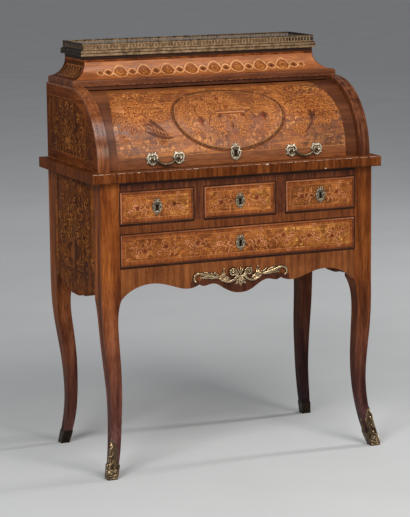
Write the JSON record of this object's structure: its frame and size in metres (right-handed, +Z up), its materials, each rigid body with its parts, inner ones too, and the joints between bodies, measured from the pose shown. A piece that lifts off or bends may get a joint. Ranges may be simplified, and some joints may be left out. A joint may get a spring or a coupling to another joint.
{
  "type": "cylinder desk",
  "caption": "Small cylinder desk on curved legs: drawers under a pull-out writing slide, a roll-back curved front and a coved top with a pierced gallery.",
  "frame": {"origin": "on the floor, at the middle of the desk's width and of its depth from the front toes to the back edge of the top", "axes": "+Z up, +X to the right of a person facing the desk, front towards -Y"},
  "size_m": [0.8, 0.4334, 1.071],
  "materials": {
    "carcass_wood": "polished reddish-brown veneer",
    "marquetry_wood": "polished marquetry veneer",
    "oak": "plain unpolished oak",
    "aged_brass": "aged, dull",
    "gilt_bronze": "worn gilding",
    "dark_bronze": "dark, unpolished",
    "lock_steel": "dull steel",
    "leather": "tooled writing leather"
  },
  "bodies": {
    "case": {"leg_front_left": "carcass_wood", "leg_front_right": "carcass_wood", "leg_rear_left": "carcass_wood", "leg_rear_right": "carcass_wood", "sabots_front": "gilt_bronze", "sabots_rear": "dark_bronze", "side_panel_left": "marquetry_wood", "side_panel_right": "marquetry_wood", "lower_back": "oak", "top_rail": "carcass_wood", "mid_rail": "carcass_wood", "front_apron": "carcass_wood", "drawer_dividers": "carcass_wood", "drawer_runners": "oak", "apron_mount": "gilt_bronze", "desk_top_left": "carcass_wood", "desk_top_right": "carcass_wood", "desk_top_back": "carcass_wood", "cheek_left": "marquetry_wood", "cheek_right": "marquetry_wood", "upper_back": "oak", "fascia": "carcass_wood", "pivot_pins": "lock_steel", "plinth": "carcass_wood", "cove_frieze": "marquetry_wood", "top_panel": "carcass_wood", "gallery": "aged_brass", "pigeonhole_nest": "oak"},
    "slide": {"writing_slide": "carcass_wood", "slide_leather": "leather"},
    "cylinder": {"cylinder_shell": "marquetry_wood", "cylinder_quadrants": "oak", "cylinder_lock_case": "lock_steel", "cylinder_escutcheon": "aged_brass", "handle_bosses": "aged_brass"},
    "cylinder_bolt": {"cylinder_bolt": "lock_steel"},
    "bail_left": {"bail_left": "aged_brass"},
    "bail_right": {"bail_right": "aged_brass"},
    "drawer_left": {"drawer_front_left": "marquetry_wood", "drawer_box_left": "oak", "escutcheon_left": "aged_brass", "lock_case_left": "lock_steel"},
    "lock_bolt_left": {"lock_bolt_left": "lock_steel"},
    "drawer_middle": {"drawer_front_middle": "marquetry_wood", "drawer_box_middle": "oak", "escutcheon_middle": "aged_brass", "lock_case_middle": "lock_steel"},
    "lock_bolt_middle": {"lock_bolt_middle": "lock_steel"},
    "drawer_right": {"drawer_front_right": "marquetry_wood", "drawer_box_right": "oak", "escutcheon_right": "aged_brass", "lock_case_right": "lock_steel"},
    "lock_bolt_right": {"lock_bolt_right": "lock_steel"},
    "drawer_long": {"drawer_front_long": "marquetry_wood", "drawer_box_long": "oak", "escutcheon_long": "aged_brass", "lock_case_long": "lock_steel"},
    "lock_bolt_long": {"lock_bolt_long": "lock_steel"},
    "nest_drawer_left": {"nest_drawer_left": "oak"},
    "nest_drawer_right": {"nest_drawer_right": "oak"}
  },
  "joints": [
    {"name": "slide_pull", "type": "slide", "parent": "case", "child": "slide", "axis": [0, -1, 0], "range_m": [0, 0.18]},
    {"name": "cylinder_roll", "type": "hinge", "parent": "case", "child": "cylinder", "pos_m": [0, 0.0257, 0.777], "axis": [-1, 0, 0], "range_deg": [0, 70]},
    {"name": "cylinder_bolt_shoot", "type": "slide", "parent": "cylinder", "child": "cylinder_bolt", "axis": [0, 0, -1], "range_m": [0, 0.008]},
    {"name": "bail_left_swing", "type": "hinge", "parent": "cylinder", "child": "bail_left", "pos_m": [-0.193, -0.15662, 0.79269], "axis": [-1, 0, 0], "range_deg": [0, 80]},
    {"name": "bail_right_swing", "type": "hinge", "parent": "cylinder", "child": "bail_right", "pos_m": [0.193, -0.15662, 0.79269], "axis": [-1, 0, 0], "range_deg": [0, 80]},
    {"name": "drawer_left_pull", "type": "slide", "parent": "case", "child": "drawer_left", "axis": [0, -1, 0], "range_m": [0, 0.25]},
    {"name": "lock_bolt_left_shoot", "type": "slide", "parent": "drawer_left", "child": "lock_bolt_left", "axis": [0, 0, 1], "range_m": [0, 0.008]},
    {"name": "drawer_middle_pull", "type": "slide", "parent": "case", "child": "drawer_middle", "axis": [0, -1, 0], "range_m": [0, 0.25]},
    {"name": "lock_bolt_middle_shoot", "type": "slide", "parent": "drawer_middle", "child": "lock_bolt_middle", "axis": [0, 0, 1], "range_m": [0, 0.008]},
    {"name": "drawer_right_pull", "type": "slide", "parent": "case", "child": "drawer_right", "axis": [0, -1, 0], "range_m": [0, 0.25]},
    {"name": "lock_bolt_right_shoot", "type": "slide", "parent": "drawer_right", "child": "lock_bolt_right", "axis": [0, 0, 1], "range_m": [0, 0.008]},
    {"name": "drawer_long_pull", "type": "slide", "parent": "case", "child": "drawer_long", "axis": [0, -1, 0], "range_m": [0, 0.25]},
    {"name": "lock_bolt_long_shoot", "type": "slide", "parent": "drawer_long", "child": "lock_bolt_long", "axis": [0, 0, 1], "range_m": [0, 0.008]},
    {"name": "nest_drawer_left_pull", "type": "slide", "parent": "case", "child": "nest_drawer_left", "axis": [0, -1, 0], "range_m": [0, 0.1]},
    {"name": "nest_drawer_right_pull", "type": "slide", "parent": "case", "child": "nest_drawer_right", "axis": [0, -1, 0], "range_m": [0, 0.1]}
  ]
}
